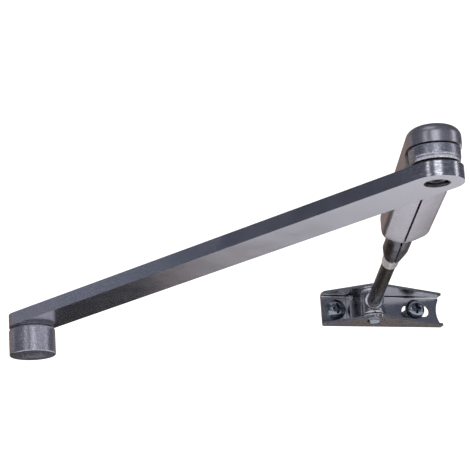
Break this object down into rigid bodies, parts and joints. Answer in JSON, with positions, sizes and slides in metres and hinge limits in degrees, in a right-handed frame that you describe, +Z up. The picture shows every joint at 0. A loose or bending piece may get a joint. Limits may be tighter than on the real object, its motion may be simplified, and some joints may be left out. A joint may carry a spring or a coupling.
{
  "type": "gate opener arm",
  "caption": "Articulated opener arm: flat main arm with a spindle socket, folded forearm with an adjustable threaded rod, and a slotted wall bracket.",
  "frame": {"origin": "centre of the bracket's back face, in line with the bracket pin and level with the rod's axis", "axes": "+Z up along the pins, +Y out of the bracket's back into the wall, +X along the bracket towards its slotted end"},
  "size_m": [0.259, 0.3155, 0.0421],
  "materials": {
    "arm_paint": "fine metallic gunmetal paint",
    "plated_steel": "dark plated steel",
    "bright_steel": "bright plated",
    "black_steel": "blackened steel",
    "bronze": "sintered bronze",
    "nylon": "black nylon"
  },
  "bodies": {
    "bracket_body": {"bracket": "plated_steel", "bracket_pin": "bright_steel", "swing_stop": "plated_steel", "screw_fixed": "plated_steel", "screw_slot": "plated_steel"},
    "rod_body": {"rod_eye": "plated_steel", "eye_bush": "bronze", "eye_washer_upper": "bright_steel", "eye_washer_lower": "bright_steel", "adjusting_rod": "black_steel"},
    "forearm_body": {"forearm_shell": "arm_paint", "elbow_hub": "plated_steel", "elbow_pin": "black_steel", "threaded_sleeve": "bright_steel"},
    "main_arm_body": {"main_arm": "arm_paint", "elbow_washer": "nylon", "elbow_disc": "arm_paint", "elbow_friction_washer": "bronze", "elbow_bush": "bronze", "spindle_socket": "arm_paint", "spindle_screw": "black_steel"}
  },
  "joints": [
    {"name": "bracket_swing", "type": "hinge", "parent": "bracket_body", "child": "rod_body", "pos_m": [0, -0.0165, 0], "axis": [0, 0, 1], "range_deg": [-65, 95]},
    {"name": "length_adjust", "type": "slide", "parent": "rod_body", "child": "forearm_body", "axis": [-0.2612, -0.9653, 0], "range_m": [-0.015, 0.015]},
    {"name": "elbow_fold", "type": "hinge", "parent": "forearm_body", "child": "main_arm_body", "pos_m": [-0.07365, -0.28871, 0], "axis": [0, 0, 1], "range_deg": [-25, 135]}
  ]
}
